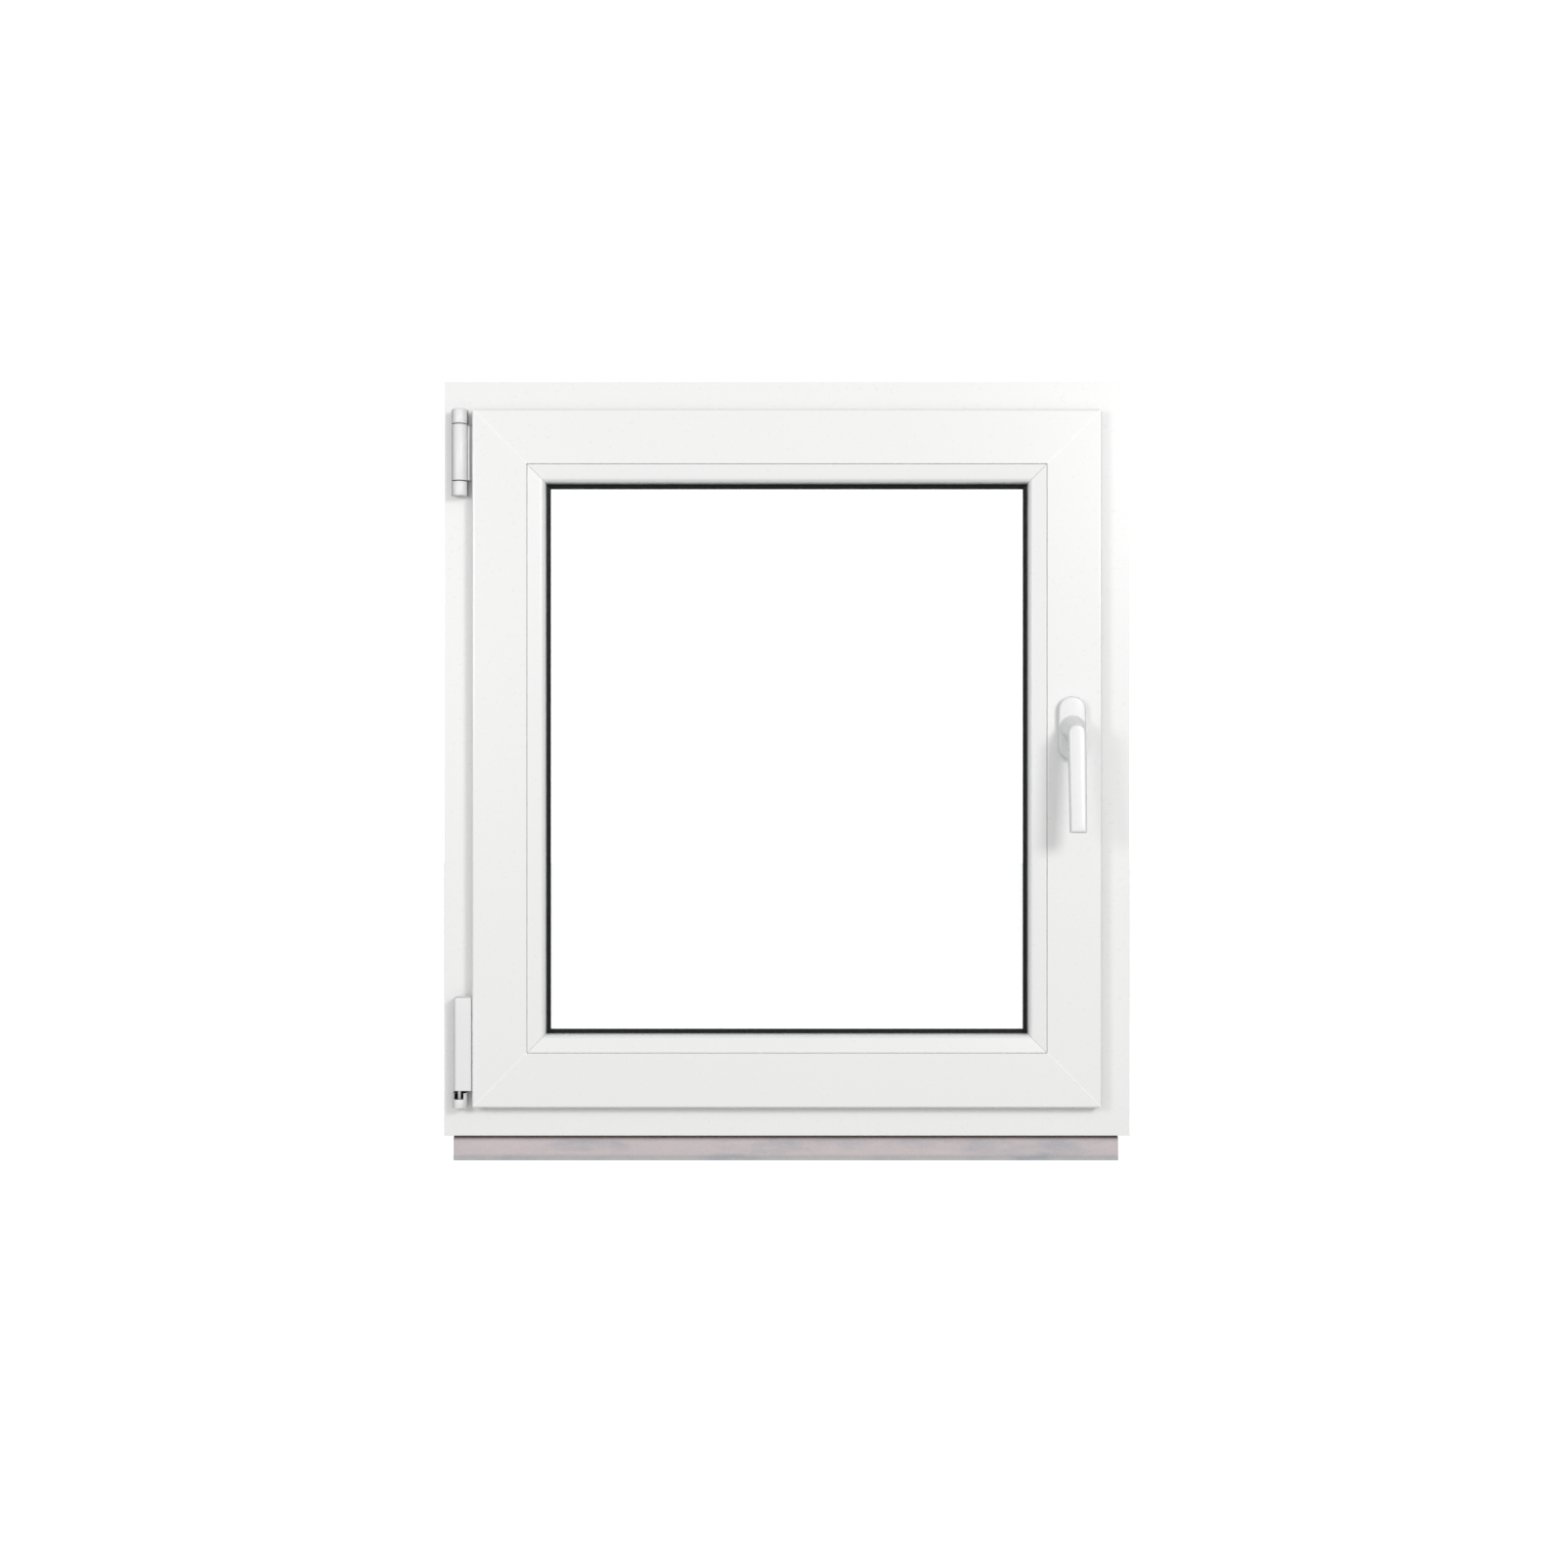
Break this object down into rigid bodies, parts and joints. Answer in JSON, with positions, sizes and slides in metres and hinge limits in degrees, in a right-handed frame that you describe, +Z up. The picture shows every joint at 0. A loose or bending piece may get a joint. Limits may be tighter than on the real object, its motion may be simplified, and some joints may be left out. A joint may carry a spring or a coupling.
{
  "type": "casement window",
  "caption": "Inward-opening tilt-and-turn casement window: mitred white profiles, double glazing, surface hinges, lever handle with drive rods, on a base profile.",
  "frame": {"origin": "underside of the base profile, at mid width and mid frame depth", "axes": "+Z up, +X right and -Y towards the room, as seen from the room"},
  "size_m": [0.8, 0.1547, 0.91],
  "materials": {
    "pvc_white": "smooth extruded uPVC, soft gloss",
    "hinge_white": "moulded and coated white, satin",
    "handle_white": "white powder coat, satin",
    "gasket_black": "extruded seal, matt",
    "steel_galvanised": "galvanised sheet, dull spangle",
    "hardware_zinc": "zinc plated, satin",
    "base_grey": "recycled uPVC extrusion, warm grey, matt",
    "plastic_black": "matt",
    "glass": "clear float glass"
  },
  "bodies": {
    "root": {"frame_sill": "pvc_white", "frame_head": "pvc_white", "frame_hinge_jamb": "pvc_white", "frame_lock_jamb": "pvc_white", "frame_steel_sill": "steel_galvanised", "frame_steel_head": "steel_galvanised", "frame_steel_hinge_jamb": "steel_galvanised", "frame_steel_lock_jamb": "steel_galvanised", "frame_gasket": "gasket_black", "base_profile": "base_grey", "keeper_lock_lower": "hardware_zinc", "keeper_lock_upper": "hardware_zinc", "keeper_head": "hardware_zinc", "keeper_sill": "hardware_zinc", "stay_bearing": "hinge_white", "stay_hinge_pin": "hardware_zinc", "corner_bearing": "hardware_zinc", "corner_bearing_cap": "hinge_white", "drain_cap_left": "pvc_white", "drain_cap_right": "pvc_white"},
    "corner_pivot": {"corner_swivel": "plastic_black"},
    "sash": {"sash_bottom_rail": "pvc_white", "sash_top_rail": "pvc_white", "sash_hinge_stile": "pvc_white", "sash_lock_stile": "pvc_white", "sash_steel_bottom_rail": "steel_galvanised", "sash_steel_top_rail": "steel_galvanised", "sash_steel_hinge_stile": "steel_galvanised", "sash_steel_lock_stile": "steel_galvanised", "bead_bottom_rail": "pvc_white", "bead_top_rail": "pvc_white", "bead_hinge_stile": "pvc_white", "bead_lock_stile": "pvc_white", "pane_inner": "glass", "pane_outer": "glass", "glass_spacer": "plastic_black", "glazing_gasket_inner": "gasket_black", "glazing_gasket_outer": "gasket_black", "sash_gasket": "gasket_black", "setting_block_left": "plastic_black", "setting_block_right": "plastic_black", "gearbox_case": "hardware_zinc", "lock_faceplate": "hardware_zinc", "stay_rail": "hardware_zinc", "sill_faceplate": "hardware_zinc", "corner_drive_top": "hardware_zinc", "corner_drive_bottom": "hardware_zinc", "corner_hinge_band": "hardware_zinc", "corner_hinge_pin": "hardware_zinc", "corner_hinge_cover": "hinge_white", "handle_rosette": "handle_white"},
    "stay": {"stay_band": "hinge_white", "stay_arm": "hardware_zinc", "stay_arm_pin": "hardware_zinc"},
    "handle": {"handle_lever": "handle_white", "handle_spindle": "hardware_zinc", "drive_pinion": "hardware_zinc"},
    "lock_rod": {"lock_rod": "hardware_zinc"},
    "head_rod": {"head_rod": "hardware_zinc"},
    "sill_rod": {"sill_rod": "hardware_zinc"}
  },
  "joints": [
    {"name": "sash_turn", "type": "hinge", "parent": "root", "child": "corner_pivot", "pos_m": [-0.38, -0.047, 0.0715], "axis": [0, 0, -1], "range_deg": [0, 100]},
    {"name": "sash_tilt", "type": "hinge", "parent": "corner_pivot", "child": "sash", "pos_m": [-0.38, -0.047, 0.0715], "axis": [1, 0, 0], "range_deg": [0, 8.77]},
    {"name": "stay_swing", "type": "hinge", "parent": "corner_pivot", "child": "stay", "pos_m": [-0.38, -0.047, 0.0715], "axis": [0, 0, -1], "range_deg": [0, 26.9]},
    {"name": "handle_turn", "type": "hinge", "parent": "sash", "child": "handle", "pos_m": [0.3295, -0.0665, 0.505], "axis": [0, 1, 0], "range_deg": [0, 180]},
    {"name": "lock_rod_slide", "type": "slide", "parent": "sash", "child": "lock_rod", "axis": [0, 0, -1], "range_m": [0, 0.0361]},
    {"name": "head_rod_slide", "type": "slide", "parent": "sash", "child": "head_rod", "axis": [1, 0, 0], "range_m": [0, 0.0361]},
    {"name": "sill_rod_slide", "type": "slide", "parent": "sash", "child": "sill_rod", "axis": [-1, 0, 0], "range_m": [0, 0.0361]}
  ],
  "couplings": [
    {"joint": "stay_swing", "follows": "sash_tilt", "ratio": 3.054},
    {"joint": "lock_rod_slide", "follows": "handle_turn", "m_per_rad": 0.011459},
    {"joint": "head_rod_slide", "follows": "handle_turn", "m_per_rad": 0.011459},
    {"joint": "sill_rod_slide", "follows": "handle_turn", "m_per_rad": 0.011459}
  ]
}
